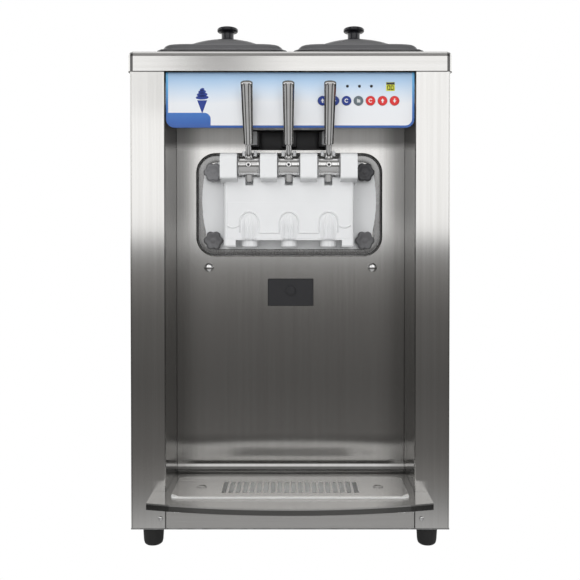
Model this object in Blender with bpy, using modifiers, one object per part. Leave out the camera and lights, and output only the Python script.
"""Countertop twin-twist soft serve machine, as separate named pieces.

Metres, +Z up. The front faces -Y and +X is to the right. The origin is on the
surface that the machine stands on, at the middle of its whole footprint.
"""
import math

import bmesh
import bpy
from mathutils import Matrix, Vector

# ---------------------------------------------------------------- driving sizes
CABINET_WIDTH = 0.545
CABINET_DEPTH = 0.640          # column fronts to the cover's rear
CABINET_HEIGHT = 0.847         # standing surface to the cover's top
SHELF_REACH = 0.087            # how far the shelf's nose stands out of the columns
SHEET = 0.0015                 # steel sheet
GAP = 0.0003                   # between pieces that touch

FOOT_HEIGHT = 0.030
FOOT_RADIUS = 0.018
FOOT_TAPER = 0.0018
FOOT_CHAMFER = 0.0025
FOOT_INSET_X = 0.0355
FOOT_INSET_FRONT = 0.019
FOOT_INSET_REAR = 0.045
BASE_SHEET = 0.002
RAIL_WIDTH = 0.024
RAIL_HEIGHT = 0.016

COVER_SKIRT = 0.035
COVER_OVERHANG = 0.0035
COVER_ROUND = 0.010
REAR_PANEL_INSET = 0.0025      # each side, to clear the cover's round corners
VENT_COUNT = 10
VENT_PITCH = 0.028
VENT_HEIGHT = 0.010
VENT_FIRST_Z = 0.085
VENT_SIDE = 0.1225             # slot ends to the cabinet's side

COLUMN_WIDTH = 0.060
RECESS_DEPTH = 0.125
PANEL_RETURN = 0.016           # flange at the end of a folded panel
HOPPER_ROOM = 0.040            # panel cut away for the hopper this far behind the columns
BEND_RADIUS = 0.003
COVE_RADIUS = 0.018
FLOOR_Z = 0.0955
CEILING_DROP = 0.0895          # recess ceiling below the cover's top

# Freezer, door and valves. Heights hang from the cover's top.
FREEZER_X = -0.0025
PIVOT_DROP = 0.192
PIVOT_REACH = 0.098            # pivot in front of the recess wall
HANDLE_PITCH = 0.069
LUG_WIDTH = 0.029
LUG_RADIUS = 0.0185
LUG_CROWN = 0.0045
LUG_ROOT = 0.030               # lug's length behind the block's face
LUG_BELOW_HUB = 0.007
HUB_RADIUS = 0.017
PIN_RADIUS = 0.005
PIN_SHORT = 0.003              # pin's ends inside the outer lugs
RUNNING_FIT = 0.0003           # radial, also between hub and lug
HANDLE_TILT = math.radians(26)
ROD_RADIUS = 0.0050
SOCKET_RADIUS = 0.003
SOCKET_DEPTH = 0.003
GRIP_START = 0.040
GRIP_END = 0.147
GRIP_RADIUS_LOW = 0.0080
GRIP_RADIUS_TOP = 0.0100
TAIL_LENGTH = 0.030
TAIL_WIDTH = 0.012
TAIL_THICK = 0.007
TAIL_START = 0.008             # joined to the hub from here
TAIL_BEVEL = 0.0015
TAIL_SIDE_ROOM = 0.001
HUB_TO_VALVE = 0.0015          # between the hub's swing and the valve's stem
VALVE_RADIUS = 0.0125
VALVE_FLAT = 0.0050            # how much of the stem's front is cut flat
VALVE_REACH_DOWN = 0.040       # valve's bottom below the freezer axes
STEM_TOP_DROP = 0.012          # stem's top below the pivot
TAIL_ROOM = 0.0035             # pocket and window beyond the tail's reach
POCKET_TOP_DROP = 0.0175
PRONG_HEIGHT = 0.040
PRONG_WIDTH = 0.006
PRONG_DEPTH = 0.0075
PRONG_OFFSET = 0.010
PRONG_ROOT = 0.003             # prong's length inside the stem
PRONG_BEVEL = 0.0018

# These widths are measured out from the outer valves' axes.
DOOR_SIDE = 0.093
DOOR_SIDE_TOP = 0.083
DOOR_SIDE_BOTTOM = 0.077
BLOCK_SIDE = 0.045
NOTCH_SIDE = 0.024
PLATE_SIDE = 0.081
STUD_SIDE = 0.068
BEZEL_SIDE = 0.104
SWITCH_SLOT_SIDE = 0.006

DOOR_TOP_ABOVE_PIVOT = 0.014
DOOR_HEIGHT = 0.159
DOOR_CORNER_TOP = 0.030
DOOR_CORNER_BOTTOM = 0.018
DOOR_BULGE_RADIUS = 0.5
DOOR_FLANGE = 0.022
DOOR_PROUD = 0.0035            # freezer plate proud of the recess wall
BLOCK_LIFT = 0.0035            # block above the flange's lower edge
BLOCK_BEVEL = 0.004
DOOR_FACE_WALL = 0.0042        # wall in front of a valve bore
NOTCH_HEIGHT = 0.0125
CAVITY_INSET = 0.010           # door cavity inside the barrel's bore
CAVITY_DEPTH = 0.006           # and ahead of the flange's face
GALLERY_SIDE = 0.005
GALLERY_DROP_LOW = 0.026       # below the freezer axes
GALLERY_DROP_TOP = 0.008

FREEZER_DROP = 0.070           # freezer axes below the pivot
BARREL_RADIUS = 0.050
BARREL_WALL = 0.006
BARREL_LENGTH = 0.290
PLATE_MARGIN = 0.004           # plate inside the door's outline, top and bottom
PLATE_THICK = 0.008
PLATE_CORNER = 0.022
PLATE_CLEARANCE = 0.0015       # window in the recess wall around the plate
STUD_RADIUS = 0.004
STUD_CLEARANCE = 0.0007
STUD_IN_KNOB = 0.006           # stud's length inside the knob
STUD_FROM_TOP = 0.0200
STUD_FROM_BOTTOM = 0.0155

BEZEL_MARGIN_TOP = 0.0195
BEZEL_MARGIN_BOTTOM = 0.0145
BEZEL_RIM = 0.0075
BEZEL_CORNER = 0.037
BEZEL_THICK = 0.008

KNOB_RADIUS = 0.0180
KNOB_LOBE = 0.0014
KNOB_THICK = 0.014
KNOB_BOSS = 0.006
KNOB_BOSS_RADIUS = 0.011
KNOB_LOBES = 6

NOZZLE_LAND = 0.0022           # nozzle beyond the valve's radius
NOZZLE_WALL = 0.0028
NOZZLE_FLOOR = 0.003
NOZZLE_HEIGHT = 0.0122
STAR_POINTS = 6
STAR_RADIUS = 0.0100
STAR_ROOT = 0.0055

FASCIA_HEIGHT = 0.094
FASCIA_SET_BACK = 0.008
FASCIA_THICK = 0.004
FASCIA_CORNER = 0.015
HOUSING_DEPTH = 0.028
HOUSING_WALL = 0.002
HOUSING_TOP_GAP = 0.006
BOARD_LENGTH = 0.145
BOARD_THICK = 0.0016
BOARD_SET_BACK = 0.008
BOARD_EDGE_GAP = 0.003
BUTTON_COUNT = 7
BUTTON_PITCH = 0.0205
BUTTON_RADIUS = 0.0079
BUTTON_PROUD = 0.0010
BUTTON_TRAVEL = 0.0010
BUTTON_FROM_EDGE = 0.0339      # last button's centre to the fascia's right edge
BUTTON_FROM_TOP = 0.0481
LAMP_COUNT = 3
LAMP_OFFSET = 0.0015           # middle lamp from the fourth button
LAMP_PITCH = 0.0205
LAMP_PROUD = 0.0005
STRIP_MARGIN = 0.004
STRIP_THICK = 0.002
LAMP_RADIUS = 0.0024
LAMP_FROM_TOP = 0.0233
DISPLAY_SIZE = 0.0150
DISPLAY_FROM_EDGE = 0.0409
DISPLAY_FROM_TOP = 0.0239

SWITCH_SLOT_HEIGHT = 0.048
SWITCH_SLOT_CORNER = 0.006
SWITCH_SLOT_UNDER_CEILING = 0.0155

LEAK_WIDTH = 0.085
LEAK_HEIGHT = 0.051
LEAK_BELOW_PIVOT = 0.2255
LEAK_BODY = 0.150
LEAK_FRONT = 0.003
LEAK_LAP = 0.003               # front plate around the hole
LEAK_WALL = 0.002
LEAK_KNOB_RADIUS = 0.008
LEAK_KNOB_PROUD = 0.007
LEAK_KNOB_RISE = 0.004

NOSE_INSET = 0.0375            # nose's ends inside the cabinet's sides
NOSE_SIDE_REACH = 0.059
SHELF_THICK = 0.011
SHELF_BACK_FROM_WALL = 0.025
PAN_SIDE_GAP = 0.0135          # pan to the recess side
PAN_FRONT_REACH = 0.037        # pan's front edge ahead of the columns
PAN_LENGTH = 0.110
PAN_DEPTH = 0.0245
PAN_RIM = 0.004
PAN_WALL = 0.002
PAN_CORNER = 0.008
COVER_CHAMFER = 0.012
COVER_CORNER = 0.015
COVER_INSET = 0.001
SLOT_COUNT = 20
SLOT_PITCH = 0.0118
SLOT_WIDTH = 0.0078
SLOT_LENGTH = 0.062
SLOTS_FORWARD = 0.006          # slots ahead of the pan's middle
LOWER_PANEL_TOP = 0.068

HOPPER_SIDE_GAP = 0.0490       # hopper to the cabinet's side
HOPPER_CENTRE_GAP = 0.0165     # hopper to the cabinet's middle
HOPPER_FRONT_GAP = 0.0445      # hopper behind the column fronts
HOPPER_LENGTH = 0.2315
HOPPER_CORNER = 0.028
HOPPER_WALL = 0.0012
HOPPER_RIM = 0.006
HOPPER_RISE = 0.0065           # collar above the cover, besides the sheet
HOPPER_FLOOR_GAP = 0.006       # hopper's floor above the recess ceiling
HOPPER_HOLE_CLEARANCE = 0.0007
LID_OVERHANG = 0.0143
LID_CORNER = 0.032
LID_FLANGE = 0.0090
LID_FLANGE_THICK = 0.0030
LID_CHAMFER = 0.003
LID_PLUG_CLEARANCE = 0.0015
LID_RIM_HEIGHT = 0.0155
LID_DOME_INSET = 0.031         # lid's edge to the foot of its dome
LID_DOME_HEIGHT = 0.0310
LID_DOME_TOP = 0.016           # half the flat under the knob
LID_DOME_RINGS = 6
LID_WALL = 0.0025
LID_PLUG = 0.010
LID_KNOB_RADIUS = 0.0197
LID_KNOB_NECK = 0.0123
LID_KNOB_HEIGHT = 0.0290

TUBE_RADIUS = 0.009
TUBE_WALL = 0.0015
TUBE_BEHIND_WALL = 0.0515

SHAFT_RADIUS = 0.008
HELIX_TURNS = 3
HELIX_WIRE = 0.004
HELIX_CLEARANCE = 0.002
HELIX_END_GAP = 0.016
HELIX_BAR_RADIUS = 0.0026
SHAFT_TAIL = 0.018             # shaft past the barrel, into its gearbox

GEARBOX_GAP = 0.004
GEARBOX_HALF_WIDTH = 0.050
GEARBOX_HALF_HEIGHT = 0.055
GEARBOX_DEPTH = 0.062
MOTOR_RADIUS = 0.052
MOTOR_END_GAP = 0.022          # motor to the rear panel

COMPRESSOR_X = -0.100
COMPRESSOR_BEHIND_WALL = 0.2365
COMPRESSOR_RADIUS = 0.085
COMPRESSOR_HEIGHT = 0.200
COMPRESSOR_FOOT_HALF = 0.100
COMPRESSOR_FOOT_THICK = 0.006

CONDENSER_HALF_WIDTH = 0.148
CONDENSER_LOW_Z = 0.050
CONDENSER_HEIGHT = 0.310
CONDENSER_REAR_GAP = 0.014
CORE_DEPTH = 0.040
SHROUD_DEPTH = 0.040
THROAT_RADIUS = 0.118
FAN_RADIUS = 0.108
FAN_HUB_RADIUS = 0.026
FAN_HUB_LENGTH = 0.017
FAN_SET_BACK = 0.003           # fan hub behind the shroud's front
FAN_MOTOR_RADIUS = 0.030
FAN_MOTOR_LENGTH = 0.018
FAN_BLADES = 5
BLADE_THICK = 0.0024
BLADE_CHORD = 0.048
BLADE_PITCH = math.radians(14)

GLAND_FROM_SIDE = 0.0575
GLAND_Z = 0.075
GLAND_RADIUS = 0.014
GLAND_NECK = 0.0105
GLAND_BORE = 0.0045
GLAND_FLANGE = 0.003
GLAND_LENGTH = 0.018

# ------------------------------------------------------------ worked-out places
HALF_WIDTH = CABINET_WIDTH / 2
COLUMN_Y = SHELF_REACH - (CABINET_DEPTH + SHELF_REACH) / 2
REAR_Y = COLUMN_Y + CABINET_DEPTH
WALL_Y = COLUMN_Y + RECESS_DEPTH
RECESS_HALF = HALF_WIDTH - COLUMN_WIDTH
REAR_PANEL_Y = REAR_Y - COVER_OVERHANG
BASE_Z = FOOT_HEIGHT + GAP
PANEL_Z = BASE_Z + BASE_SHEET + GAP
PANEL_TOP = CABINET_HEIGHT - COVER_ROUND - GAP

PIVOT_Z = CABINET_HEIGHT - PIVOT_DROP
PIVOT_Y = WALL_Y - PIVOT_REACH
VALVE_FRONT = HUB_RADIUS + HUB_TO_VALVE
VALVE_Y = PIVOT_Y + VALVE_FRONT + VALVE_RADIUS - VALVE_FLAT
BORE_RADIUS = VALVE_RADIUS + RUNNING_FIT
DOOR_TOP = PIVOT_Z + DOOR_TOP_ABOVE_PIVOT
DOOR_BOTTOM = DOOR_TOP - DOOR_HEIGHT
DOOR_BACK = WALL_Y - DOOR_PROUD - GAP
DOOR_FLANGE_Y = DOOR_BACK - DOOR_FLANGE
BLOCK_FACE = VALVE_Y - BORE_RADIUS - DOOR_FACE_WALL
BLOCK_TOP = PIVOT_Z - HUB_RADIUS - 2 * GAP
BLOCK_BOTTOM = DOOR_BOTTOM + BLOCK_LIFT
NOTCH_TOP = BLOCK_BOTTOM + NOTCH_HEIGHT
FREEZER_Z = PIVOT_Z - FREEZER_DROP
BARREL_BACK = WALL_Y - DOOR_PROUD + PLATE_THICK + BARREL_LENGTH
CEILING = CABINET_HEIGHT - CEILING_DROP
FASCIA_TOP = CABINET_HEIGHT - COVER_SKIRT - GAP
FASCIA_BOTTOM = FASCIA_TOP - FASCIA_HEIGHT
FASCIA_Y = COLUMN_Y + FASCIA_SET_BACK
FASCIA_BACK = FASCIA_Y + FASCIA_THICK
FASCIA_HALF = RECESS_HALF - GAP
HOPPER_HALF = (HALF_WIDTH - HOPPER_SIDE_GAP - HOPPER_CENTRE_GAP) / 2
HOPPER_X = HOPPER_CENTRE_GAP + HOPPER_HALF
HOPPER_Y = COLUMN_Y + HOPPER_FRONT_GAP + HOPPER_LENGTH / 2
HOPPER_FLOOR = CEILING + SHEET + HOPPER_FLOOR_GAP
HOPPER_TOP = CABINET_HEIGHT + GAP + HOPPER_WALL + HOPPER_RISE
LID_SEAT = HOPPER_TOP + GAP
LID_CROWN = LID_SEAT + LID_RIM_HEIGHT + LID_DOME_HEIGHT
LEAK_Z = PIVOT_Z - LEAK_BELOW_PIVOT
PAN_HALF = RECESS_HALF - PAN_SIDE_GAP
PAN_FRONT = COLUMN_Y - PAN_FRONT_REACH
PAN_BACK = PAN_FRONT + PAN_LENGTH
PAN_RIM_Z = FLOOR_Z + GAP
CONDENSER_BACK = REAR_PANEL_Y - SHEET - CONDENSER_REAR_GAP
CORE_FRONT = CONDENSER_BACK - CORE_DEPTH
SHROUD_FRONT = CORE_FRONT - SHROUD_DEPTH
FAN_Z = CONDENSER_LOW_Z + CONDENSER_HEIGHT / 2
GLAND_X = -HALF_WIDTH + GLAND_FROM_SIDE
THROUGH = 0.01                 # a cutter runs this far past what it cuts
HANDLE_NAMES = ("left", "centre", "right")


# ------------------------------------------------------------------------ scene
def clear_scene():
    for item in list(bpy.data.objects):
        bpy.data.objects.remove(item, do_unlink=True)


clear_scene()
parts = bpy.data.collections.new("soft_serve_machine")
cutters = bpy.data.collections.new("cutters")
bpy.context.scene.collection.children.link(parts)
bpy.context.scene.collection.children.link(cutters)


def material(name, colour, roughness, metallic=0.0):
    made = bpy.data.materials.new(name)
    made.use_nodes = True
    shader = made.node_tree.nodes["Principled BSDF"]
    shader.inputs["Base Color"].default_value = (*colour, 1.0)
    shader.inputs["Roughness"].default_value = roughness
    shader.inputs["Metallic"].default_value = metallic
    return made


STEEL = material("brushed_steel", (0.56, 0.55, 0.53), 0.34, 1.0)
POLISHED = material("polished_steel", (0.68, 0.67, 0.65), 0.16, 1.0)
GALVANISED = material("galvanised_steel", (0.42, 0.44, 0.46), 0.5, 1.0)
WHITE = material("white_plastic", (0.86, 0.87, 0.87), 0.3)
GREY = material("grey_knob_plastic", (0.11, 0.105, 0.10), 0.45)
BLACK = material("black_plastic", (0.018, 0.018, 0.02), 0.4)
RUBBER = material("black_rubber", (0.015, 0.015, 0.015), 0.75)
LID = material("lid_plastic", (0.085, 0.085, 0.09), 0.28)
PRINT = material("printed_fascia", (0.80, 0.86, 0.92), 0.3)
NAVY = material("navy_button", (0.0, 0.03, 0.26), 0.35)
BUTTON_GREY = material("grey_button", (0.12, 0.16, 0.18), 0.35)
RED = material("red_button", (0.74, 0.0, 0.0), 0.35)
DISPLAY = material("display_window", (0.75, 0.80, 0.02), 0.2)
LAMP = material("lamp_lens", (0.01, 0.01, 0.01), 0.2)
BOARD = material("circuit_board", (0.02, 0.16, 0.06), 0.5)
PAINT = material("black_enamel", (0.02, 0.02, 0.022), 0.4)
FINS = material("aluminium_fins", (0.60, 0.61, 0.62), 0.4, 1.0)


# ---------------------------------------------------------------------- helpers
def add_object(name, mesh, colour, origin=(0, 0, 0)):
    """Put a mesh in the parts collection as a visible piece."""
    piece = bpy.data.objects.new(name, mesh)
    piece.location = origin
    parts.objects.link(piece)
    if colour:
        mesh.materials.clear()
        mesh.materials.append(colour)
    return piece


def as_guide(piece):
    """Hide an object that only cuts another one or is joined to it."""
    if piece.name in parts.objects:
        parts.objects.unlink(piece)
    if piece.name not in cutters.objects:
        cutters.objects.link(piece)
    piece.hide_render = True
    piece.display_type = "WIRE"
    return piece


def boolean(target, operation, *guides):
    for guide in guides:
        as_guide(guide)
        step = target.modifiers.new(guide.name, "BOOLEAN")
        step.operation = operation
        step.solver = "EXACT"
        step.object = guide
    return target


def cut(target, *guides):
    return boolean(target, "DIFFERENCE", *guides)


def join(target, *guides):
    return boolean(target, "UNION", *guides)


def box(name, low, high, colour=None, origin=(0, 0, 0), bevel=0.0, segments=2):
    """A box between two corners, with its edges rounded when bevel is set."""
    low, high, origin = Vector(low), Vector(high), Vector(origin)
    shape = bmesh.new()
    bmesh.ops.create_cube(shape, size=1.0)
    bmesh.ops.scale(shape, vec=high - low, verts=shape.verts)
    bmesh.ops.translate(shape, vec=(low + high) / 2 - origin, verts=shape.verts)
    if bevel:
        bmesh.ops.bevel(shape, geom=shape.edges[:], offset=bevel, segments=segments,
                        profile=0.5, affect="EDGES")
    mesh = bpy.data.meshes.new(name)
    shape.to_mesh(mesh)
    shape.free()
    return add_object(name, mesh, colour, origin)


def rod(name, start, end, radius, colour=None, origin=(0, 0, 0), sides=16):
    """A cylinder from one point to another."""
    start, end, origin = Vector(start), Vector(end), Vector(origin)
    along = end - start
    shape = bmesh.new()
    turn = along.to_track_quat("Z", "Y").to_matrix().to_4x4()
    place = Matrix.Translation((start + end) / 2 - origin) @ turn
    bmesh.ops.create_cone(shape, cap_ends=True, segments=sides, radius1=radius,
                          radius2=radius, depth=along.length, matrix=place)
    mesh = bpy.data.meshes.new(name)
    shape.to_mesh(mesh)
    shape.free()
    smooth(mesh)
    return add_object(name, mesh, colour, origin)


def smooth(mesh, angle=35):
    mesh.shade_smooth()
    mesh.set_sharp_from_angle(angle=math.radians(angle))


def turned(name, profile, colour=None, origin=(0, 0, 0), steps=32, closed=False):
    """Turn a profile of (radius, height) about +Z, from its top down the outside."""
    mesh = bpy.data.meshes.new(name)
    points = [(radius, 0, height) for radius, height in profile]
    edges = [(i, i + 1) for i in range(len(points) - 1)]
    if closed:
        edges.append((len(points) - 1, 0))
    mesh.from_pydata(points, edges, [])
    piece = add_object(name, mesh, colour, origin)
    screw = piece.modifiers.new("turn", "SCREW")
    screw.axis = "Z"
    screw.angle = math.tau
    screw.steps = steps
    screw.render_steps = steps
    screw.use_merge_vertices = True
    screw.merge_threshold = 0.00005
    screw.use_smooth_shade = True
    return piece


def arc(centre, radius, start, end, steps):
    """Points on an arc, angles in degrees."""
    angles = [math.radians(start + (end - start) * i / steps) for i in range(steps + 1)]
    return [(centre[0] + radius * math.cos(a), centre[1] + radius * math.sin(a)) for a in angles]


def rounded(points, radii, steps=4, closed=True):
    """An outline with each corner replaced by a tangent arc of its own radius."""
    made = []
    count = len(points)
    for index, corner in enumerate(points):
        radius = radii[index] if isinstance(radii, (list, tuple)) else radii
        at_end = not closed and index in (0, count - 1)
        if at_end or radius <= 0:
            made.append(tuple(corner))
            continue
        here = Vector(corner)
        back = (Vector(points[index - 1]) - here)
        ahead = (Vector(points[(index + 1) % count]) - here)
        half = back.angle(ahead) / 2
        reach = min(radius / math.tan(half), 0.49 * back.length, 0.49 * ahead.length)
        radius = reach * math.tan(half)
        start = here + back.normalized() * reach
        end = here + ahead.normalized() * reach
        middle = here + (back.normalized() + ahead.normalized()).normalized() * (
            radius / math.sin(half))
        first = start - middle
        sweep = first.angle_signed(end - middle)
        for i in range(steps + 1):
            made.append(tuple(middle + Matrix.Rotation(-sweep * i / steps, 2) @ first))
    return made


def rectangle(low_x, low_y, high_x, high_y):
    return [(low_x, low_y), (high_x, low_y), (high_x, high_y), (low_x, high_y)]


TURNS = {
    "Z": Matrix.Identity(4),
    "Y": Matrix.Rotation(math.radians(90), 4, "X"),
    "X": Matrix(((0, 0, 1, 0), (1, 0, 0, 0), (0, 1, 0, 0), (0, 0, 0, 1))),
}


def plate(name, outlines, direction, start, end, colour=None, origin=(0, 0, 0)):
    """A flat outline, with any holes, extruded along X, Y or Z between two places.

    The outline is (x, y) for Z, (x, z) for Y and (y, z) for X.
    """
    flat = bpy.data.curves.new(name, "CURVE")
    flat.dimensions = "2D"
    flat.fill_mode = "BOTH"
    flat.extrude = abs(end - start) / 2
    for outline in outlines:
        spline = flat.splines.new("POLY")
        spline.points.add(len(outline) - 1)
        for point, (first, second) in zip(spline.points, outline):
            point.co = (first, second, 0, 1)
        spline.use_cyclic_u = True
    drawn = bpy.data.objects.new(name + "_outline", flat)
    parts.objects.link(drawn)
    bpy.context.view_layer.update()
    evaluated = drawn.evaluated_get(bpy.context.evaluated_depsgraph_get())
    mesh = bpy.data.meshes.new_from_object(evaluated)
    bpy.data.objects.remove(drawn, do_unlink=True)
    middle = (start + end) / 2
    shift = {"X": (middle, 0, 0), "Y": (0, middle, 0), "Z": (0, 0, middle)}[direction]
    place = Matrix.Translation(Vector(shift) - Vector(origin)) @ TURNS[direction]
    shape = bmesh.new()
    shape.from_mesh(mesh)
    bmesh.ops.remove_doubles(shape, verts=shape.verts, dist=0.00001)
    shape.transform(place)
    bmesh.ops.recalc_face_normals(shape, faces=shape.faces)
    mesh.name = name
    shape.to_mesh(mesh)
    shape.free()
    smooth(mesh)
    return add_object(name, mesh, colour, origin)


def folded(name, path, direction, start, end, thickness, colour=None):
    """A folded sheet: a path drawn across X, Y or Z, stretched along it and thickened.

    The metal lies to the left of the path for a positive thickness.
    """
    places = {
        "X": lambda first, second, along: (along, first, second),
        "Y": lambda first, second, along: (first, along, second),
        "Z": lambda first, second, along: (first, second, along),
    }
    place = places[direction]
    shape = bmesh.new()
    line = [shape.verts.new(place(first, second, start)) for first, second in path]
    edges = [shape.edges.new(pair) for pair in zip(line, line[1:])]
    swept = bmesh.ops.extrude_edge_only(shape, edges=edges)
    moved = [item for item in swept["geom"] if isinstance(item, bmesh.types.BMVert)]
    stretch = Vector(place(0, 0, end - start))
    bmesh.ops.translate(shape, vec=stretch, verts=moved)
    mesh = bpy.data.meshes.new(name)
    shape.to_mesh(mesh)
    shape.free()
    piece = add_object(name, mesh, colour)
    skin = piece.modifiers.new("sheet", "SOLIDIFY")
    skin.thickness = abs(thickness)
    skin.offset = math.copysign(1.0, thickness)
    skin.use_even_offset = True
    return piece


def mirrored(points):
    return [(-first, second) for first, second in points]


# --------------------------------------------------------------------- cabinet
def make_base_pan():
    low = (-HALF_WIDTH, COLUMN_Y, BASE_Z)
    high = (HALF_WIDTH, REAR_PANEL_Y, BASE_Z + BASE_SHEET)
    pan = box("base_pan", low, high, GALVANISED)
    for side in (-1, 1):
        x = COMPRESSOR_X + side * (COMPRESSOR_FOOT_HALF - RAIL_WIDTH / 2)
        rail = box("base_rail", (x - RAIL_WIDTH / 2, WALL_Y, BASE_Z + BASE_SHEET / 2),
                   (x + RAIL_WIDTH / 2, REAR_PANEL_Y - 2 * SHEET, BASE_Z + RAIL_HEIGHT))
        join(pan, rail)


def make_side_panel(name, side):
    """Side, front column and recess side folded from one sheet."""
    path = rounded([
        (HALF_WIDTH, REAR_PANEL_Y - SHEET - GAP),
        (HALF_WIDTH, COLUMN_Y),
        (RECESS_HALF, COLUMN_Y),
        (RECESS_HALF, WALL_Y),
        (RECESS_HALF + PANEL_RETURN, WALL_Y),
    ], BEND_RADIUS, closed=False)
    thickness = -SHEET
    if side < 0:
        path = mirrored(path)
        thickness = SHEET
    panel = folded(name, path, "Z", PANEL_Z, PANEL_TOP, thickness, STEEL)
    near, far = side * (RECESS_HALF - THROUGH), side * (RECESS_HALF + PANEL_RETURN + THROUGH)
    room = box(name + "_hopper_room",
               (min(near, far), COLUMN_Y + HOPPER_ROOM, CEILING + SHEET),
               (max(near, far), WALL_Y + THROUGH, PANEL_TOP + THROUGH))
    cut(panel, room)


def make_rear_panel():
    half = HALF_WIDTH - REAR_PANEL_INSET
    outline = rectangle(-half, PANEL_Z, half, PANEL_TOP)
    vents = []
    vent_half = HALF_WIDTH - VENT_SIDE
    for row in range(VENT_COUNT):
        z = VENT_FIRST_Z + VENT_PITCH * row
        vents.append(rectangle(-vent_half, z, vent_half, z + VENT_HEIGHT))
    panel = plate("rear_panel", [outline] + vents, "Y", REAR_PANEL_Y - SHEET, REAR_PANEL_Y, STEEL)
    hole = rod("gland_hole", (GLAND_X, REAR_PANEL_Y - THROUGH, GLAND_Z),
               (GLAND_X, REAR_PANEL_Y + THROUGH, GLAND_Z), GLAND_NECK + GAP)
    cut(panel, hole)


def make_recess_back_panel():
    """Ceiling, wall, cove and the back strip of the floor, in one sheet."""
    path = rounded([
        (FASCIA_BACK + GAP, CEILING),
        (WALL_Y, CEILING),
        (WALL_Y, FLOOR_Z),
        (WALL_Y - SHELF_BACK_FROM_WALL + GAP, FLOOR_Z),
    ], [0, BEND_RADIUS, COVE_RADIUS, 0], closed=False)
    half = RECESS_HALF - GAP
    panel = folded("recess_back_panel", path, "X", -half, half, SHEET, STEEL)
    before, behind = WALL_Y - THROUGH, WALL_Y + THROUGH
    window = plate("freezer_window", [plate_outline(PLATE_CLEARANCE)], "Y", before, behind)
    slot_half = HANDLE_PITCH + SWITCH_SLOT_SIDE
    slot_top = CEILING - SWITCH_SLOT_UNDER_CEILING
    opening = rectangle(FREEZER_X - slot_half, slot_top - SWITCH_SLOT_HEIGHT,
                        FREEZER_X + slot_half, slot_top)
    slot = plate("switch_slot", [rounded(opening, SWITCH_SLOT_CORNER, 3)], "Y", before, behind)
    hole_half, hole_tall = LEAK_WIDTH / 2 - LEAK_LAP, LEAK_HEIGHT / 2 - LEAK_LAP
    drawer_hole = box("leak_hole", (-hole_half, before, LEAK_Z - hole_tall),
                      (hole_half, behind, LEAK_Z + hole_tall))
    cut(panel, window, slot, drawer_hole)


def make_lower_front_panel():
    half = RECESS_HALF - GAP
    box("lower_front_panel", (-half, COLUMN_Y, PANEL_Z),
        (half, COLUMN_Y + SHEET, LOWER_PANEL_TOP), STEEL)


def make_top_cover():
    """A folded cap with a skirt, open below, with an opening for each hopper."""
    shape = bmesh.new()
    bmesh.ops.create_cube(shape, size=1.0)
    low = Vector((-HALF_WIDTH - COVER_OVERHANG, COLUMN_Y - COVER_OVERHANG,
                  CABINET_HEIGHT - COVER_SKIRT))
    high = Vector((HALF_WIDTH + COVER_OVERHANG, REAR_Y, CABINET_HEIGHT))
    bmesh.ops.scale(shape, vec=high - low, verts=shape.verts)
    bmesh.ops.translate(shape, vec=(low + high) / 2, verts=shape.verts)
    under = [face for face in shape.faces if face.normal.z < -0.5]
    bmesh.ops.delete(shape, geom=under, context="FACES_ONLY")
    kept = [edge for edge in shape.edges if len(edge.link_faces) == 2]
    bmesh.ops.bevel(shape, geom=kept, offset=COVER_ROUND, segments=3, profile=0.5,
                    affect="EDGES")
    mesh = bpy.data.meshes.new("top_cover")
    shape.to_mesh(mesh)
    shape.free()
    smooth(mesh)
    cover = add_object("top_cover", mesh, STEEL)
    skin = cover.modifiers.new("sheet", "SOLIDIFY")
    skin.thickness = SHEET
    skin.offset = -1.0
    skin.use_even_offset = True
    for side in (-1, 1):
        hole = hopper_outline(side, HOPPER_HOLE_CLEARANCE)
        cut(cover, plate("hopper_hole", [hole], "Z", CABINET_HEIGHT - SHEET - THROUGH,
                         CABINET_HEIGHT + THROUGH))


def make_foot(name, x, y):
    profile = [(0, FOOT_HEIGHT), (FOOT_RADIUS, FOOT_HEIGHT),
               (FOOT_RADIUS - FOOT_TAPER, FOOT_CHAMFER),
               (FOOT_RADIUS - FOOT_TAPER - FOOT_CHAMFER, 0), (0, 0)]
    turned(name, profile, RUBBER, (x, y, 0), steps=20)


def make_feet():
    x = HALF_WIDTH - FOOT_INSET_X
    front = COLUMN_Y + FOOT_INSET_FRONT
    rear = REAR_Y - FOOT_INSET_REAR
    make_foot("foot_front_left", -x, front)
    make_foot("foot_front_right", x, front)
    make_foot("foot_rear_left", -x, rear)
    make_foot("foot_rear_right", x, rear)


# ------------------------------------------------------------------- drip shelf
def shelf_outline(inset):
    """Nose in front of the columns, bowed, and a narrower tongue in the recess."""
    half = HALF_WIDTH - NOSE_INSET - inset
    tongue = RECESS_HALF - GAP - inset
    side_y = COLUMN_Y - NOSE_SIDE_REACH + inset
    nose_y = COLUMN_Y - SHELF_REACH + inset
    shoulder = COLUMN_Y - GAP - inset
    back = WALL_Y - SHELF_BACK_FROM_WALL - inset
    rise = side_y - nose_y
    radius = (half * half + rise * rise) / (2 * rise)
    sweep = math.degrees(math.asin(half / radius))
    nose = arc((0, nose_y + radius), radius, -90 - sweep, -90 + sweep, 12)
    return nose + [(half, shoulder), (tongue, shoulder), (tongue, back),
                   (-tongue, back), (-tongue, shoulder), (-half, shoulder)]


def pan_outline(inset):
    rect = rectangle(-PAN_HALF + inset, PAN_FRONT + inset, PAN_HALF - inset, PAN_BACK - inset)
    return rounded(rect, max(PAN_CORNER - inset, PAN_WALL), 3)


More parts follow.
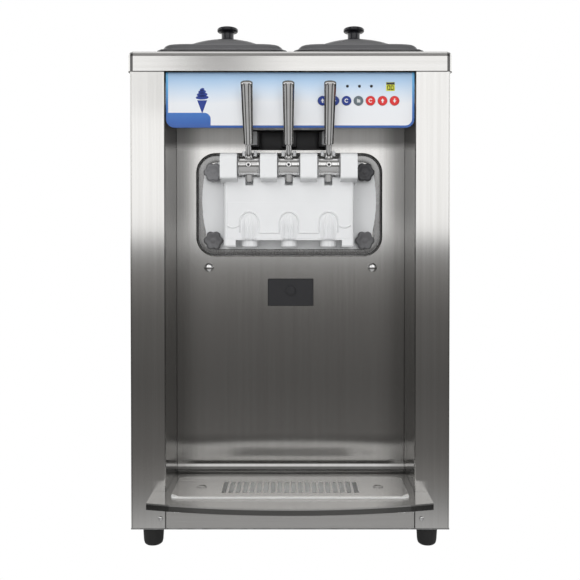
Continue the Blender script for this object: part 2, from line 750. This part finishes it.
def make_drip_shelf():
    shelf = plate("drip_shelf", [shelf_outline(0)], "Z", FLOOR_Z - SHELF_THICK, FLOOR_Z, STEEL)
    hollow = plate("shelf_hollow", [shelf_outline(SHEET)], "Z",
                   FLOOR_Z - SHELF_THICK - THROUGH, FLOOR_Z - SHEET)
    opening = plate("pan_opening", [pan_outline(PAN_RIM - 2 * GAP)], "Z",
                    FLOOR_Z - SHELF_THICK - THROUGH, FLOOR_Z + THROUGH)
    cut(shelf, hollow, opening)


def make_drip_pan():
    top = PAN_RIM_Z + PAN_WALL
    pan = plate("drip_pan", [pan_outline(0)], "Z", PAN_RIM_Z, top, WHITE)
    tub = plate("pan_tub", [pan_outline(PAN_RIM)], "Z", FLOOR_Z - PAN_DEPTH,
                PAN_RIM_Z + PAN_WALL / 2)
    hollow = plate("pan_hollow", [pan_outline(PAN_RIM + PAN_WALL)], "Z",
                   FLOOR_Z - PAN_DEPTH + PAN_WALL, top + THROUGH)
    join(pan, tub)
    cut(pan, hollow)


def make_drip_cover():
    """Perforated sheet with rounded back corners and chamfered front ones."""
    low = PAN_RIM_Z + PAN_WALL + GAP
    left, right = -PAN_HALF + COVER_INSET, PAN_HALF - COVER_INSET
    front, back = PAN_FRONT + COVER_INSET, PAN_BACK - COVER_INSET
    outline = [(left + COVER_CHAMFER, front), (right - COVER_CHAMFER, front),
               (right, front + COVER_CHAMFER)]
    outline += arc((right - COVER_CORNER, back - COVER_CORNER), COVER_CORNER, 0, 90, 4)
    outline += arc((left + COVER_CORNER, back - COVER_CORNER), COVER_CORNER, 90, 180, 4)
    outline.append((left, front + COVER_CHAMFER))
    slots = []
    middle = (PAN_FRONT + PAN_BACK) / 2 - SLOTS_FORWARD
    for index in range(SLOT_COUNT):
        x = (index - (SLOT_COUNT - 1) / 2) * SLOT_PITCH
        slots.append(rectangle(x - SLOT_WIDTH / 2, middle - SLOT_LENGTH / 2,
                               x + SLOT_WIDTH / 2, middle + SLOT_LENGTH / 2))
    plate("drip_cover", [outline] + slots, "Z", low, low + SHEET, STEEL)


def make_leak_drawer():
    """Black front, open tray behind it and a round finger knob."""
    front_y = WALL_Y - GAP - LEAK_FRONT
    half, tall = LEAK_WIDTH / 2, LEAK_HEIGHT / 2
    side, low = half - LEAK_LAP - LEAK_FRONT / 2, LEAK_Z - tall + LEAK_LAP + LEAK_FRONT / 2
    front = box("leak_drawer", (-half, front_y, LEAK_Z - tall),
                (half, WALL_Y - GAP, LEAK_Z + tall), BLACK, bevel=LEAK_FRONT / 3, segments=1)
    tray = box("leak_tray", (-side, WALL_Y - LEAK_FRONT / 2, low),
               (side, WALL_Y + LEAK_BODY, LEAK_Z + tall - THROUGH))
    hollow = box("leak_hollow", (-side + LEAK_WALL, WALL_Y + LEAK_WALL, low + LEAK_WALL),
                 (side - LEAK_WALL, WALL_Y + LEAK_BODY - LEAK_WALL, LEAK_Z + tall))
    knob_z = LEAK_Z + LEAK_KNOB_RISE
    knob = rod("leak_knob", (0, front_y - LEAK_KNOB_PROUD, knob_z),
               (0, front_y + LEAK_FRONT / 2, knob_z), LEAK_KNOB_RADIUS, sides=20)
    join(front, tray)
    cut(front, hollow)
    join(front, knob)


# ---------------------------------------------------------------- control panel
def button_x(index):
    return FASCIA_HALF - BUTTON_FROM_EDGE - (BUTTON_COUNT - 1 - index) * BUTTON_PITCH


def lamp_x(index):
    return button_x(3) + LAMP_OFFSET + (index - 1) * LAMP_PITCH


def display_box(inset):
    x = FASCIA_HALF - DISPLAY_FROM_EDGE
    z = FASCIA_TOP - DISPLAY_FROM_TOP
    half = DISPLAY_SIZE / 2 - inset
    return rectangle(x - half, z - half, x + half, z + half)


def make_control_fascia():
    outline = rounded(rectangle(-FASCIA_HALF, FASCIA_BOTTOM, FASCIA_HALF, FASCIA_TOP),
                      [FASCIA_CORNER, FASCIA_CORNER, 0, 0], 6)
    button_z = FASCIA_TOP - BUTTON_FROM_TOP
    lamp_z = FASCIA_TOP - LAMP_FROM_TOP
    holes = [display_box(0)]
    for index in range(BUTTON_COUNT):
        centre = (button_x(index), button_z)
        holes.append(arc(centre, BUTTON_RADIUS + 2 * GAP, 0, 337.5, 15))
    for index in range(LAMP_COUNT):
        holes.append(arc((lamp_x(index), lamp_z), LAMP_RADIUS + GAP, 0, 315, 7))
    plate("control_fascia", [outline] + holes, "Y", FASCIA_Y, FASCIA_BACK, PRINT)


def make_buttons():
    colours = [NAVY] * 3 + [BUTTON_GREY] + [RED] * 3
    z = FASCIA_TOP - BUTTON_FROM_TOP
    for index, colour in enumerate(colours):
        x = button_x(index)
        front = FASCIA_Y - BUTTON_PROUD
        rod(f"button_{index + 1}", (x, FASCIA_BACK - BUTTON_TRAVEL, z), (x, front, z),
            BUTTON_RADIUS, colour, (x, front, z), 16)


def make_display_and_lamps():
    plate("display_window", [display_box(GAP)], "Y", FASCIA_Y + GAP, FASCIA_BACK - GAP, DISPLAY)
    z = FASCIA_TOP - LAMP_FROM_TOP
    reach = LAMP_RADIUS + STRIP_MARGIN
    strip_front = FASCIA_BACK + GAP
    strip = box("indicator_strip", (lamp_x(0) - reach, strip_front, z - STRIP_MARGIN),
                (lamp_x(LAMP_COUNT - 1) + reach, strip_front + STRIP_THICK, z + STRIP_MARGIN),
                LAMP)
    for index in range(LAMP_COUNT):
        x = lamp_x(index)
        join(strip, rod("lamp_stub", (x, FASCIA_Y - LAMP_PROUD, z),
                        (x, strip_front + STRIP_THICK / 2, z), LAMP_RADIUS, sides=8))


def make_control_housing():
    """Box behind the fascia, open towards it, and the circuit board inside."""
    half = RECESS_HALF - GAP
    back = FASCIA_BACK + HOUSING_DEPTH
    low = CEILING + SHEET + GAP
    high = FASCIA_TOP - HOUSING_TOP_GAP
    wall = HOUSING_WALL
    housing = box("control_housing", (-half, FASCIA_BACK + GAP, low), (half, back, high),
                  GALVANISED)
    hollow = box("housing_hollow", (-half + wall, FASCIA_BACK - THROUGH, low + wall),
                 (half - wall, back - wall, high - wall))
    cut(housing, hollow)
    middle = button_x(3)
    board_y = FASCIA_BACK + BOARD_SET_BACK
    box("control_board", (middle - BOARD_LENGTH / 2, board_y, low + BOARD_EDGE_GAP),
        (middle + BOARD_LENGTH / 2, board_y + BOARD_THICK, high - BOARD_EDGE_GAP), BOARD)


# ---------------------------------------------------------------- freezer, door
def plate_outline(margin):
    half = HANDLE_PITCH + PLATE_SIDE + margin
    low = DOOR_BOTTOM + PLATE_MARGIN - margin
    high = DOOR_TOP - PLATE_MARGIN + margin
    outline = rectangle(FREEZER_X - half, low, FREEZER_X + half, high)
    return rounded(outline, PLATE_CORNER, 4)


def stud_places():
    for side, side_name in ((-1, "left"), (1, "right")):
        x = FREEZER_X + side * (HANDLE_PITCH + STUD_SIDE)
        yield f"upper_{side_name}", x, DOOR_TOP - STUD_FROM_TOP
        yield f"lower_{side_name}", x, DOOR_BOTTOM + STUD_FROM_BOTTOM


def make_freezer_block():
    """Front plate with its studs and two freezing barrels, welded together."""
    front = WALL_Y - DOOR_PROUD
    inside = front + PLATE_THICK / 4
    block = plate("freezer_block", [plate_outline(0)], "Y", front, front + PLATE_THICK, POLISHED)
    tip = DOOR_FLANGE_Y - KNOB_BOSS - STUD_IN_KNOB
    for _, x, z in stud_places():
        join(block, rod("stud", (x, tip, z), (x, inside, z), STUD_RADIUS, sides=8))
    for side in (-1, 1):
        x = FREEZER_X + side * HANDLE_PITCH
        join(block, rod("barrel", (x, inside, FREEZER_Z), (x, BARREL_BACK, FREEZER_Z),
                        BARREL_RADIUS + BARREL_WALL, sides=24))
        bore = rod("barrel_bore", (x, front - THROUGH, FREEZER_Z),
                   (x, BARREL_BACK - BARREL_WALL, FREEZER_Z), BARREL_RADIUS, sides=24)
        shaft_hole = rod("shaft_hole", (x, BARREL_BACK - THROUGH, FREEZER_Z),
                         (x, BARREL_BACK + THROUGH, FREEZER_Z), SHAFT_RADIUS + BARREL_WALL / 4)
        cut(block, bore, shaft_hole)


def make_helix(name, radius, start, end, side, origin):
    """A wire wound about the Y axis through the origin's place."""
    wire = bpy.data.curves.new(name, "CURVE")
    wire.dimensions = "3D"
    wire.bevel_depth = HELIX_WIRE
    wire.bevel_resolution = 0
    wire.use_fill_caps = True
    steps = HELIX_TURNS * 10
    spline = wire.splines.new("POLY")
    spline.points.add(steps)
    for index, point in enumerate(spline.points):
        share = index / steps
        angle = side * math.tau * HELIX_TURNS * share
        point.co = (radius * math.cos(angle), start + (end - start) * share,
                    radius * math.sin(angle), 1)
    drawn = bpy.data.objects.new(name + "_wire", wire)
    parts.objects.link(drawn)
    bpy.context.view_layer.update()
    evaluated = drawn.evaluated_get(bpy.context.evaluated_depsgraph_get())
    mesh = bpy.data.meshes.new_from_object(evaluated)
    bpy.data.objects.remove(drawn, do_unlink=True)
    shape = bmesh.new()
    shape.from_mesh(mesh)
    bmesh.ops.remove_doubles(shape, verts=shape.verts, dist=0.00001)
    shape.to_mesh(mesh)
    shape.free()
    return add_object(name, mesh, None, origin)


def make_beater(name, side):
    """Shaft with a scraper helix carried on cross bars."""
    x = FREEZER_X + side * HANDLE_PITCH
    origin = Vector((x, 0, FREEZER_Z))
    radius = BARREL_RADIUS - HELIX_WIRE - HELIX_CLEARANCE
    start, end = WALL_Y + HELIX_END_GAP, BARREL_BACK - HELIX_END_GAP
    shaft = rod(name, (x, start - SHAFT_RADIUS, FREEZER_Z),
                (x, BARREL_BACK + SHAFT_TAIL, FREEZER_Z), SHAFT_RADIUS, POLISHED, origin)
    for index in range(HELIX_TURNS + 1):
        y = start + (end - start) * index / HELIX_TURNS
        join(shaft, rod(name + "_bar", (x - radius, y, FREEZER_Z), (x + radius, y, FREEZER_Z),
                        HELIX_BAR_RADIUS, sides=6))
    join(shaft, make_helix(name + "_scraper", radius, start, end, side, origin))


def make_gear_motor(name, side):
    x = FREEZER_X + side * HANDLE_PITCH
    front = BARREL_BACK + GEARBOX_GAP
    back = front + GEARBOX_DEPTH
    case = box(name, (x - GEARBOX_HALF_WIDTH, front, FREEZER_Z - GEARBOX_HALF_HEIGHT),
               (x + GEARBOX_HALF_WIDTH, back, FREEZER_Z + GEARBOX_HALF_HEIGHT), PAINT)
    motor = rod(name + "_can", (x, back - THROUGH, FREEZER_Z),
                (x, REAR_PANEL_Y - MOTOR_END_GAP, FREEZER_Z), MOTOR_RADIUS, sides=20)
    bore = rod(name + "_bore", (x, front - THROUGH, FREEZER_Z),
               (x, front + SHAFT_TAIL, FREEZER_Z), SHAFT_RADIUS + RUNNING_FIT)
    join(case, motor)
    cut(case, bore)


def door_outline():
    """Barrel-shaped flange: bulged sides, straight top and bottom."""
    middle = (DOOR_TOP + DOOR_BOTTOM) / 2
    wide, top, bottom = (HANDLE_PITCH + side
                         for side in (DOOR_SIDE, DOOR_SIDE_TOP, DOOR_SIDE_BOTTOM))
    corners = [(-bottom, DOOR_BOTTOM), (bottom, DOOR_BOTTOM), (wide, middle),
               (top, DOOR_TOP), (-top, DOOR_TOP), (-wide, middle)]
    radii = [DOOR_CORNER_BOTTOM, DOOR_CORNER_BOTTOM, DOOR_BULGE_RADIUS,
             DOOR_CORNER_TOP, DOOR_CORNER_TOP, DOOR_BULGE_RADIUS]
    return [(x + FREEZER_X, z) for x, z in rounded(corners, radii, 5)]


def lug_outline():
    """A lug seen from the side: round nose and top, running back into the block."""
    back = BLOCK_FACE + LUG_ROOT
    bottom = PIVOT_Z - HUB_RADIUS - LUG_BELOW_HUB
    front = PIVOT_Y - LUG_RADIUS
    top = PIVOT_Z + LUG_RADIUS + LUG_CROWN
    return rounded([(front, bottom), (back, bottom - LUG_BELOW_HUB), (back, PIVOT_Z),
                    (PIVOT_Y + LUG_RADIUS, top - LUG_BELOW_HUB), (PIVOT_Y, top),
                    (front, top - LUG_CROWN)],
                   [0.004, 0, 0.004, 0.008, 0.020, 0.012], 3)


def make_dispensing_door():
    door = plate("dispensing_door", [door_outline()], "Y", DOOR_FLANGE_Y, DOOR_BACK, WHITE)
    block_half = HANDLE_PITCH + BLOCK_SIDE
    block = box("door_block", (FREEZER_X - block_half, BLOCK_FACE, BLOCK_BOTTOM),
                (FREEZER_X + block_half, DOOR_FLANGE_Y + BLOCK_BEVEL / 2, BLOCK_TOP),
                bevel=BLOCK_BEVEL)
    join(door, block)
    for index in range(4):
        x = FREEZER_X + (index - 1.5) * HANDLE_PITCH
        half = LUG_WIDTH / 2
        join(door, plate("lug", [lug_outline()], "X", x - half, x + half))
    cut(door, *valve_cutters(), *freezer_cutters())


def valve_cutters():
    """Nozzle notch, valve bores, tail windows and the bore of the pivot pin."""
    notch_half = HANDLE_PITCH + NOTCH_SIDE
    yield box("notch", (FREEZER_X - notch_half, BLOCK_FACE - THROUGH, DOOR_BOTTOM - THROUGH),
              (FREEZER_X + notch_half, DOOR_FLANGE_Y - GAP, NOTCH_TOP))
    window_half = TAIL_WIDTH / 2 + TAIL_SIDE_ROOM
    window_low = PIVOT_Z - TAIL_LENGTH - TAIL_ROOM
    for index in (-1, 0, 1):
        x = FREEZER_X + index * HANDLE_PITCH
        yield rod("valve_bore", (x, VALVE_Y, DOOR_BOTTOM - THROUGH),
                  (x, VALVE_Y, BLOCK_TOP + 2 * THROUGH), BORE_RADIUS, sides=20)
        yield box("tail_window", (x - window_half, BLOCK_FACE - THROUGH, window_low),
                  (x + window_half, VALVE_Y, BLOCK_TOP + THROUGH))
    pin_half = 1.5 * HANDLE_PITCH + LUG_WIDTH
    yield rod("pin_bore", (FREEZER_X - pin_half, PIVOT_Y, PIVOT_Z),
              (FREEZER_X + pin_half, PIVOT_Y, PIVOT_Z), PIN_RADIUS + RUNNING_FIT)


def freezer_cutters():
    """A cavity over each barrel, the gallery between them and the stud holes."""
    for side in (-1, 1):
        x = FREEZER_X + side * HANDLE_PITCH
        yield rod("cavity", (x, DOOR_BACK + THROUGH, FREEZER_Z),
                  (x, DOOR_FLANGE_Y - CAVITY_DEPTH, FREEZER_Z), BARREL_RADIUS - CAVITY_INSET,
                  sides=20)
    gallery_half = HANDLE_PITCH + GALLERY_SIDE
    yield box("gallery", (FREEZER_X - gallery_half, VALVE_Y, FREEZER_Z - GALLERY_DROP_LOW),
              (FREEZER_X + gallery_half, DOOR_FLANGE_Y - CAVITY_DEPTH / 2,
               FREEZER_Z - GALLERY_DROP_TOP))
    for _, x, z in stud_places():
        yield rod("stud_hole", (x, DOOR_FLANGE_Y - THROUGH, z), (x, DOOR_BACK + THROUGH, z),
                  STUD_RADIUS + STUD_CLEARANCE, sides=8)


def make_door_bezel():
    """Pressed ring on the recess wall around the door."""
    half = HANDLE_PITCH + BEZEL_SIDE
    low = DOOR_BOTTOM - BEZEL_MARGIN_BOTTOM
    high = DOOR_TOP + BEZEL_MARGIN_TOP
    outer = rectangle(FREEZER_X - half, low, FREEZER_X + half, high)
    inner = rectangle(FREEZER_X - half + BEZEL_RIM, low + BEZEL_RIM,
                      FREEZER_X + half - BEZEL_RIM, high - BEZEL_RIM)
    rings = [rounded(outer, BEZEL_CORNER, 6), rounded(inner, BEZEL_CORNER - BEZEL_RIM, 6)]
    plate("door_bezel", rings, "Y", WALL_Y - GAP - BEZEL_THICK, WALL_Y - GAP, STEEL)


def make_door_knobs():
    points = KNOB_LOBES * 6
    mean = KNOB_RADIUS - KNOB_LOBE
    outline = []
    for index in range(points):
        angle = math.tau * index / points
        radius = mean + KNOB_LOBE * math.cos(KNOB_LOBES * angle)
        outline.append((radius * math.cos(angle), radius * math.sin(angle)))
    back = DOOR_FLANGE_Y - GAP
    shoulder = back - KNOB_BOSS
    for place, x, z in stud_places():
        name = "door_knob_" + place
        lobes = [(x + first, z + second) for first, second in outline]
        knob = plate(name, [lobes], "Y", shoulder - KNOB_THICK, shoulder, GREY, (x, back, z))
        boss = rod(name + "_boss", (x, shoulder - GAP, z), (x, back, z), KNOB_BOSS_RADIUS,
                   sides=12)
        bore = rod(name + "_bore", (x, shoulder - STUD_IN_KNOB - 2 * STUD_CLEARANCE, z),
                   (x, back + THROUGH, z), STUD_RADIUS + 2 * RUNNING_FIT, sides=8)
        join(knob, boss)
        cut(knob, bore)


def make_pivot_pin():
    half = 1.5 * HANDLE_PITCH + LUG_WIDTH / 2 - PIN_SHORT
    rod("handle_pivot_pin", (FREEZER_X - half, PIVOT_Y, PIVOT_Z),
        (FREEZER_X + half, PIVOT_Y, PIVOT_Z), PIN_RADIUS, POLISHED)


def make_draw_handle(name, x):
    """Hub on the pivot pin, rod and grip above it, lifting tail below it."""
    pivot = Vector((x, PIVOT_Y, PIVOT_Z))
    half = (HANDLE_PITCH - LUG_WIDTH) / 2 - RUNNING_FIT
    hub = rod(name, (x - half, PIVOT_Y, PIVOT_Z), (x + half, PIVOT_Y, PIVOT_Z), HUB_RADIUS,
              POLISHED, pivot, 24)
    top_edge, low_edge, step = 0.002, 0.001, 0.004
    profile = [(0, GRIP_END), (GRIP_RADIUS_TOP - top_edge, GRIP_END - top_edge / 4),
               (GRIP_RADIUS_TOP, GRIP_END - step), (GRIP_RADIUS_LOW, GRIP_START + step),
               (GRIP_RADIUS_LOW - low_edge, GRIP_START),
               (ROD_RADIUS + low_edge, GRIP_START - low_edge / 2),
               (ROD_RADIUS, GRIP_START - 2 * step), (ROD_RADIUS, TAIL_START), (0, TAIL_START)]
    grip = turned(name + "_grip", profile, None, pivot, steps=14)
    grip.rotation_euler.x = HANDLE_TILT
    tail = box(name + "_tail", (-TAIL_WIDTH / 2, -TAIL_THICK / 2, -TAIL_LENGTH),
               (TAIL_WIDTH / 2, TAIL_THICK / 2, -TAIL_START), bevel=TAIL_BEVEL, segments=1)
    tail.location = pivot
    tail.rotation_euler.x = HANDLE_TILT
    bore = rod(name + "_bore", (x - half - THROUGH, PIVOT_Y, PIVOT_Z),
               (x + half + THROUGH, PIVOT_Y, PIVOT_Z), PIN_RADIUS + RUNNING_FIT)
    socket_y = PIVOT_Y - HUB_RADIUS
    socket = rod(name + "_socket", (x, socket_y - SOCKET_DEPTH, PIVOT_Z),
                 (x, socket_y + SOCKET_DEPTH, PIVOT_Z), SOCKET_RADIUS, sides=6)
    join(hub, grip, tail)
    cut(hub, bore, socket)


def make_draw_valve(name, x):
    """White spool: round body, flat-fronted stem with a pocket for the tail, two prongs."""
    bottom = FREEZER_Z - VALVE_REACH_DOWN
    stem_top = PIVOT_Z - STEM_TOP_DROP
    pocket_low = PIVOT_Z - TAIL_LENGTH - TAIL_ROOM - TAIL_SIDE_ROOM
    front = VALVE_Y - VALVE_RADIUS + VALVE_FLAT
    valve = rod(name, (x, VALVE_Y, bottom), (x, VALVE_Y, stem_top), VALVE_RADIUS, WHITE,
                (x, VALVE_Y, PIVOT_Z), 20)
    flat = box(name + "_flat", (x - 2 * VALVE_RADIUS, VALVE_Y - 2 * VALVE_RADIUS,
                                pocket_low - TAIL_ROOM),
               (x + 2 * VALVE_RADIUS, front, stem_top + THROUGH))
    pocket_half = (TAIL_WIDTH + TAIL_SIDE_ROOM) / 2
    pocket = box(name + "_pocket", (x - pocket_half, front - THROUGH, pocket_low),
                 (x + pocket_half, PIVOT_Y + TAIL_LENGTH + TAIL_ROOM, PIVOT_Z - POCKET_TOP_DROP))
    cut(valve, flat, pocket)
    for side in (-1, 1):
        middle = x + side * PRONG_OFFSET
        join(valve, box(name + "_prong", (middle - PRONG_WIDTH / 2, front, stem_top - PRONG_ROOT),
                        (middle + PRONG_WIDTH / 2, front + PRONG_DEPTH,
                         stem_top + PRONG_HEIGHT), bevel=PRONG_BEVEL))


def make_star_nozzle(name, x):
    """Cap under a valve bore with a star-shaped outlet."""
    top = NOTCH_TOP - GAP
    bottom = top - NOZZLE_HEIGHT
    floor = bottom + NOZZLE_FLOOR
    radius = VALVE_RADIUS + NOZZLE_LAND
    inner = radius - NOZZLE_WALL
    chamfer = NOZZLE_FLOOR * 2 / 3
    profile = [(0, floor), (inner, floor), (inner, top), (radius, top),
               (radius, bottom + chamfer), (radius - chamfer, bottom), (0, bottom)]
    cap = turned(name, profile, WHITE, (x, VALVE_Y, 0), steps=16)
    star = []
    for index in range(2 * STAR_POINTS):
        angle = math.pi * index / STAR_POINTS
        reach = STAR_RADIUS if index % 2 else STAR_ROOT
        star.append((x + reach * math.cos(angle), VALVE_Y + reach * math.sin(angle)))
    cut(cap, plate(name + "_star", [star], "Z", bottom - THROUGH, floor + THROUGH / 2))


# ---------------------------------------------------------------------- hoppers
def feed_place(side):
    return FREEZER_X + side * HANDLE_PITCH, WALL_Y + TUBE_BEHIND_WALL


def hopper_outline(side, margin):
    """Round-cornered rectangle, a margin outside the hopper's walls."""
    half_x, half_y = HOPPER_HALF + margin, HOPPER_LENGTH / 2 + margin
    x = side * HOPPER_X
    return rounded(rectangle(x - half_x, HOPPER_Y - half_y, x + half_x, HOPPER_Y + half_y),
                   HOPPER_CORNER + margin, 5)


def make_hopper(name, side):
    """Deep pan that hangs in the cover by its collar, with a feed hole in its floor."""
    wall = HOPPER_WALL
    pan = plate(name, [hopper_outline(side, 0)], "Z", HOPPER_FLOOR, HOPPER_TOP - GAP, POLISHED,
                (side * HOPPER_X, HOPPER_Y, 0))
    rim = plate(name + "_rim", [hopper_outline(side, HOPPER_RIM)], "Z", CABINET_HEIGHT + GAP,
                HOPPER_TOP)
    inside = plate(name + "_inside", [hopper_outline(side, -wall)], "Z", HOPPER_FLOOR + wall,
                   HOPPER_TOP + THROUGH)
    x, y = feed_place(side)
    outlet = rod(name + "_outlet", (x, y, HOPPER_FLOOR - THROUGH), (x, y, HOPPER_FLOOR + THROUGH),
                 TUBE_RADIUS - TUBE_WALL, sides=12)
    join(pan, rim)
    cut(pan, inside, outlet)


def make_feed_tube(name, side):
    x, y = feed_place(side)
    low = FREEZER_Z + BARREL_RADIUS + BARREL_WALL + GAP
    high = HOPPER_FLOOR - GAP
    inner = TUBE_RADIUS - TUBE_WALL
    turned(name, [(TUBE_RADIUS, high), (TUBE_RADIUS, low), (inner, low), (inner, high)],
           POLISHED, (x, y, 0), steps=16, closed=True)


def lid_ring(inset, height, corner):
    """Corner points of one level of a lid, about the lid's own middle."""
    half_x = HOPPER_HALF + LID_OVERHANG - inset
    half_y = HOPPER_LENGTH / 2 + LID_OVERHANG - inset
    outline = rounded(rectangle(-half_x, -half_y, half_x, half_y), corner, 5)
    return [(x, y, height) for x, y in outline]


def dome_rings(thickness):
    """Levels of the dome from its foot to the flat under the knob."""
    foot, low = LID_DOME_INSET + thickness, LID_SEAT + LID_RIM_HEIGHT - thickness
    top = HOPPER_HALF + LID_OVERHANG - LID_DOME_TOP
    rings = []
    for index in range(LID_DOME_RINGS + 1):
        share = index / LID_DOME_RINGS
        inset = foot + (top - foot) * share
        rise = LID_DOME_HEIGHT * (1 - (1 - share) ** 2)
        narrow = HOPPER_HALF + LID_OVERHANG - inset
        rings.append(lid_ring(inset, low + rise, narrow * (0.35 + 0.6 * share)))
    return rings


def stacked(name, rings, colour=None, origin=(0, 0, 0)):
    """A closed body skinned over levels that have the same number of points."""
    count = len(rings[0])
    points = [point for ring in rings for point in ring]
    faces = [list(range(count))[::-1], [len(points) - count + i for i in range(count)]]
    for level in range(len(rings) - 1):
        for i in range(count):
            low, ahead = level * count + i, level * count + (i + 1) % count
            faces.append([low, ahead, ahead + count, low + count])
    mesh = bpy.data.meshes.new(name)
    mesh.from_pydata(points, [], faces)
    smooth(mesh)
    return add_object(name, mesh, colour, origin)


def make_hopper_lid(name, side):
    """Lid with a flat flange, a raised rim, a domed middle and a plug inside the hopper."""
    seat, plug = LID_SEAT, LID_OVERHANG + HOPPER_WALL + LID_PLUG_CLEARANCE
    flange_top, rim_top = seat + LID_FLANGE_THICK, seat + LID_RIM_HEIGHT
    corner, plug_corner = LID_CORNER, HOPPER_CORNER - HOPPER_WALL - LID_PLUG_CLEARANCE
    wall = LID_WALL
    outside = [lid_ring(plug, seat - LID_PLUG, plug_corner), lid_ring(plug, seat, plug_corner),
               lid_ring(0, seat, corner), lid_ring(0, flange_top, corner),
               lid_ring(LID_FLANGE, flange_top, corner - LID_FLANGE / 2),
               lid_ring(LID_FLANGE, rim_top - LID_CHAMFER, corner - LID_FLANGE / 2),
               lid_ring(LID_FLANGE + LID_CHAMFER, rim_top, corner - LID_FLANGE / 2)]
    inner = plug + wall
    inside = [lid_ring(inner, seat - LID_PLUG - THROUGH, plug_corner - wall),
              lid_ring(inner, rim_top - wall - GAP, plug_corner - wall)]
    place = (side * HOPPER_X, HOPPER_Y, 0)
    lid = stacked(name, outside + dome_rings(0), LID, place)
    cut(lid, stacked(name + "_inside", inside + dome_rings(wall), None, place))


def make_lid_knob(name, side):
    base = LID_CROWN + GAP
    neck, cap = LID_KNOB_NECK, LID_KNOB_RADIUS
    top = base + LID_KNOB_HEIGHT
    profile = [(0, top), (cap * 0.62, top - 0.0006), (cap * 0.94, top - 0.0028),
               (cap, top - 0.0052), (cap * 0.92, top - 0.0076), (neck, top - 0.0092),
               (neck * 0.92, top - 0.0125), (neck, base), (0, base)]
    turned(name, profile, BLACK, (side * HOPPER_X, HOPPER_Y, 0), steps=16)


# -------------------------------------------------------------- cooling, mains
def make_compressor():
    """Domed can on a foot plate that stands on the base pan's rails."""
    base = BASE_Z + RAIL_HEIGHT + GAP
    y = WALL_Y + COMPRESSOR_BEHIND_WALL
    radius, tall = COMPRESSOR_RADIUS, COMPRESSOR_HEIGHT
    foot_half, thick = COMPRESSOR_FOOT_HALF, COMPRESSOR_FOOT_THICK
    low = base + thick / 2
    profile = [(0, low + tall), (radius * 0.5, low + tall * 0.98), (radius * 0.85, low + tall * 0.90),
               (radius, low + tall * 0.75), (radius, low + tall * 0.25),
               (radius * 0.85, low + tall * 0.10), (radius * 0.5, low), (0, low)]
    shell = turned("compressor", profile, PAINT, (COMPRESSOR_X, y, 0), steps=20)
    foot = box("compressor_foot", (COMPRESSOR_X - foot_half, y - foot_half * 0.7, base),
               (COMPRESSOR_X + foot_half, y + foot_half * 0.7, base + thick))
    join(shell, foot)


def make_condenser():
    """Finned core with a deep shroud and the fan motor held in its middle."""
    half, low = CONDENSER_HALF_WIDTH, CONDENSER_LOW_Z
    high = low + CONDENSER_HEIGHT
    core = box("condenser", (-half, CORE_FRONT, low), (half, CONDENSER_BACK, high), FINS)
    shroud = box("shroud", (-half, SHROUD_FRONT, low), (half, CORE_FRONT + SHEET, high))
    throat = rod("throat", (0, SHROUD_FRONT - THROUGH, FAN_Z), (0, CORE_FRONT, FAN_Z),
                 THROAT_RADIUS, sides=24)
    motor = rod("fan_motor", (0, CORE_FRONT - FAN_MOTOR_LENGTH, FAN_Z),
                (0, CORE_FRONT + SHEET, FAN_Z), FAN_MOTOR_RADIUS)
    cut(shroud, throat)
    join(core, shroud, motor)


def make_condenser_fan():
    front = SHROUD_FRONT + FAN_SET_BACK
    back = front + FAN_HUB_LENGTH
    middle = Vector((0, (front + back) / 2, FAN_Z))
    fan = rod("condenser_fan", (0, front, FAN_Z), (0, back, FAN_Z), FAN_HUB_RADIUS, BLACK, middle)
    for index in range(FAN_BLADES):
        turn = Matrix.Rotation(math.tau * index / FAN_BLADES, 4, "Y")
        pitch = Matrix.Rotation(BLADE_PITCH, 4, "X")
        blade = box("fan_blade", (FAN_HUB_RADIUS * 0.85, -BLADE_THICK / 2, -BLADE_CHORD / 2),
                    (FAN_RADIUS, BLADE_THICK / 2, BLADE_CHORD / 2))
        blade.matrix_world = Matrix.Translation(middle) @ turn @ pitch
        join(fan, blade)


def make_cord_gland():
    """Strain relief bush for the mains lead, in the rear panel."""
    neck_end = GLAND_FLANGE - GLAND_LENGTH
    taper = GLAND_NECK * 0.7
    profile = [(GLAND_RADIUS, GLAND_FLANGE), (GLAND_RADIUS, GAP), (GLAND_NECK, GAP),
               (GLAND_NECK, neck_end), (taper, neck_end - 2 * SHEET),
               (GLAND_BORE, neck_end - 2 * SHEET), (GLAND_BORE, GLAND_FLANGE)]
    gland = turned("cord_gland", profile, BLACK, (GLAND_X, REAR_PANEL_Y, GLAND_Z), steps=12,
                   closed=True)
    gland.rotation_euler.x = math.radians(-90)


# ------------------------------------------------------------------------ build
make_base_pan()
make_side_panel("left_side_panel", -1)
make_side_panel("right_side_panel", 1)
make_rear_panel()
make_recess_back_panel()
make_lower_front_panel()
make_top_cover()
make_feet()
make_drip_shelf()
make_drip_pan()
make_drip_cover()
make_leak_drawer()
make_control_fascia()
make_buttons()
make_display_and_lamps()
make_control_housing()
make_freezer_block()
make_dispensing_door()
make_door_bezel()
make_door_knobs()
make_pivot_pin()
for position, handle_name in enumerate(HANDLE_NAMES):
    handle_x = FREEZER_X + (position - 1) * HANDLE_PITCH
    make_draw_handle(f"draw_handle_{handle_name}", handle_x)
    make_draw_valve(f"draw_valve_{handle_name}", handle_x)
    make_star_nozzle(f"star_nozzle_{handle_name}", handle_x)
for side_name, side_sign in (("left", -1), ("right", 1)):
    make_beater(f"beater_{side_name}", side_sign)
    make_gear_motor(f"gear_motor_{side_name}", side_sign)
    make_hopper(f"hopper_{side_name}", side_sign)
    make_feed_tube(f"feed_tube_{side_name}", side_sign)
    make_hopper_lid(f"hopper_lid_{side_name}", side_sign)
    make_lid_knob(f"lid_knob_{side_name}", side_sign)
make_compressor()
make_condenser()
make_condenser_fan()
make_cord_gland()
